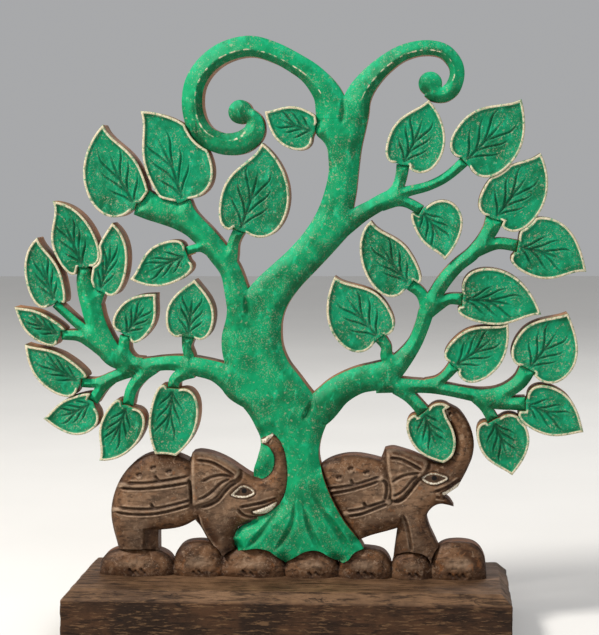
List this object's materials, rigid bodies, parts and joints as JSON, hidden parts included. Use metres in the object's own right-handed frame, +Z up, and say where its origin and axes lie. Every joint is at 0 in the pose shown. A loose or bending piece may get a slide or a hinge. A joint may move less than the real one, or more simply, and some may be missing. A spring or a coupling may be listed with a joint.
{
  "type": "tree of life relief panel",
  "caption": "Free-standing fretted wooden panel: a green scrolling tree with veined leaves between two elephants with raised trunks, on boulders and a chamfered plinth.",
  "frame": {"origin": "centre of the plinth's underside", "axes": "+Z up, front of the panel faces -Y, +X to the right seen from the front"},
  "size_m": [0.3918, 0.11, 0.4072],
  "materials": {
    "green_limb": "sanded green paint over carved wood",
    "green_leaf": "sanded dark green paint with cream painted rims",
    "stained_wood": "brown stain with dark recesses, waxed",
    "plinth_wood": "rough grained brown stain",
    "dowel_wood": "plain beech dowel",
    "screw_steel": "zinc plated"
  },
  "bodies": {
    "root": {"plinth": "plinth_wood", "boulder_strip": "stained_wood", "elephant_left": "stained_wood", "elephant_right": "stained_wood", "trunk": "green_limb", "scroll_left": "green_limb", "scroll_right": "green_limb", "bough_left_upper": "green_limb", "bough_left_lower": "green_limb", "branch_left_outer": "green_limb", "branch_left_low": "green_limb", "twig_right_upper": "green_limb", "bough_right_main": "green_limb", "bough_right_lower": "green_limb", "leaf_left_01": "green_leaf", "leaf_left_02": "green_leaf", "leaf_left_03": "green_leaf", "leaf_left_04": "green_leaf", "leaf_left_05": "green_leaf", "leaf_left_06": "green_leaf", "leaf_left_07": "green_leaf", "leaf_left_08": "green_leaf", "leaf_left_09": "green_leaf", "leaf_left_10": "green_leaf", "leaf_left_11": "green_leaf", "leaf_left_12": "green_leaf", "leaf_left_13": "green_leaf", "leaf_left_14": "green_leaf", "leaf_left_15": "green_leaf", "leaf_right_01": "green_leaf", "leaf_right_02": "green_leaf", "leaf_right_03": "green_leaf", "leaf_right_04": "green_leaf", "leaf_right_05": "green_leaf", "leaf_right_06": "green_leaf", "leaf_right_07": "green_leaf", "leaf_right_08": "green_leaf", "leaf_right_09": "green_leaf", "leaf_right_10": "green_leaf", "leaf_right_11": "green_leaf", "leaf_right_12": "green_leaf", "leaf_right_13": "green_leaf", "leaf_pins": "dowel_wood", "bough_dowels": "dowel_wood", "base_dowels": "dowel_wood", "base_screws": "screw_steel"}
  },
  "joints": []
}
